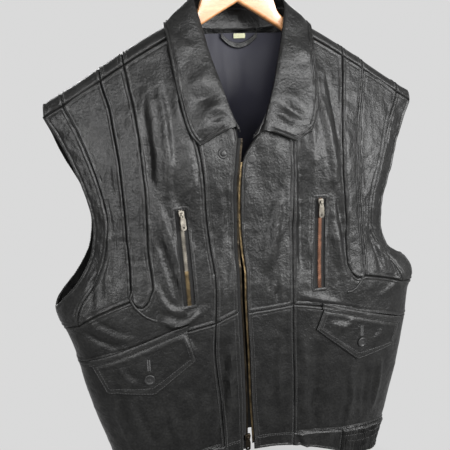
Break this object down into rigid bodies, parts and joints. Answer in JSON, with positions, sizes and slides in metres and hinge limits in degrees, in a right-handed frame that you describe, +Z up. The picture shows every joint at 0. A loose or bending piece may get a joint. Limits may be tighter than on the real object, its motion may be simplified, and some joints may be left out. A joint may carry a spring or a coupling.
{
  "type": "leather vest on a hanger",
  "caption": "Open-front leather vest with a shirt collar, zipped chest pockets, flap pockets and a ruched waistband, hanging on a shaped wooden hanger.",
  "frame": {"origin": "inner top of the hanger's hook, where it rests on its rail", "axes": "+Z up, -Y out of the vest's front, +X to the right as the front is seen"},
  "size_m": [0.5625, 0.1471, 0.8678],
  "materials": {
    "leather": "semi-gloss",
    "satin": "satin",
    "zip_tape": "matte",
    "label": "matte",
    "wood": "satin",
    "steel": "satin",
    "zip_metal": "satin",
    "black_plastic": "gloss"
  },
  "bodies": {
    "vest": {"hanger_bar": "wood", "hanger_hook": "steel", "front_centre_upper_L": "leather", "front_centre_lower_L": "leather", "front_chest_L": "leather", "front_strip_L": "leather", "front_side_L": "leather", "front_lower_L": "leather", "waistband_front_L": "leather", "armhole_band_front_L": "leather", "front_centre_upper_R": "leather", "front_centre_lower_R": "leather", "front_chest_R": "leather", "front_strip_R": "leather", "front_side_R": "leather", "front_lower_R": "leather", "waistband_front_R": "leather", "armhole_band_front_R": "leather", "back_centre": "leather", "back_strip_L": "leather", "back_side_L": "leather", "armhole_band_back_L": "leather", "back_strip_R": "leather", "back_side_R": "leather", "armhole_band_back_R": "leather", "waistband_back": "leather", "waistband_side_L": "leather", "waistband_side_R": "leather", "lining_back": "satin", "flap_welt_L": "leather", "flap_L": "leather", "flap_button_L": "black_plastic", "flap_welt_R": "leather", "flap_R": "leather", "flap_button_R": "black_plastic", "zip_tape_L": "zip_tape", "zip_chain_L": "zip_metal", "zip_slider_L": "steel", "zip_tape_R": "zip_tape", "zip_chain_R": "zip_metal", "zip_slider_R": "steel", "front_tape_L": "zip_tape", "front_teeth_L": "zip_metal", "front_tape_R": "zip_tape", "front_teeth_R": "zip_metal", "front_slider": "zip_metal", "snap_stud": "black_plastic", "snap_cap": "black_plastic", "collar_leaf": "leather", "collar_stand": "leather", "hanging_loop": "leather", "size_label": "label"},
    "pull_left": {"zip_pull_L": "steel"},
    "pull_right": {"zip_pull_R": "steel"},
    "pull_front": {"front_pull": "zip_metal"}
  },
  "joints": [
    {"name": "pull_left_hinge", "type": "hinge", "parent": "vest", "child": "pull_left", "pos_m": [-0.10458, -0.06536, -0.41192], "axis": [-0.954, -0.2997, 0], "range_deg": [0, 160]},
    {"name": "pull_right_hinge", "type": "hinge", "parent": "vest", "child": "pull_right", "pos_m": [0.10088, -0.06779, -0.41232], "axis": [-0.9986, -0.0525, 0], "range_deg": [0, 160]},
    {"name": "pull_front_hinge", "type": "hinge", "parent": "vest", "child": "pull_front", "pos_m": [-0.02249, -0.0806, -0.77081], "axis": [-1, 0.0018, 0], "range_deg": [0, 160]}
  ]
}
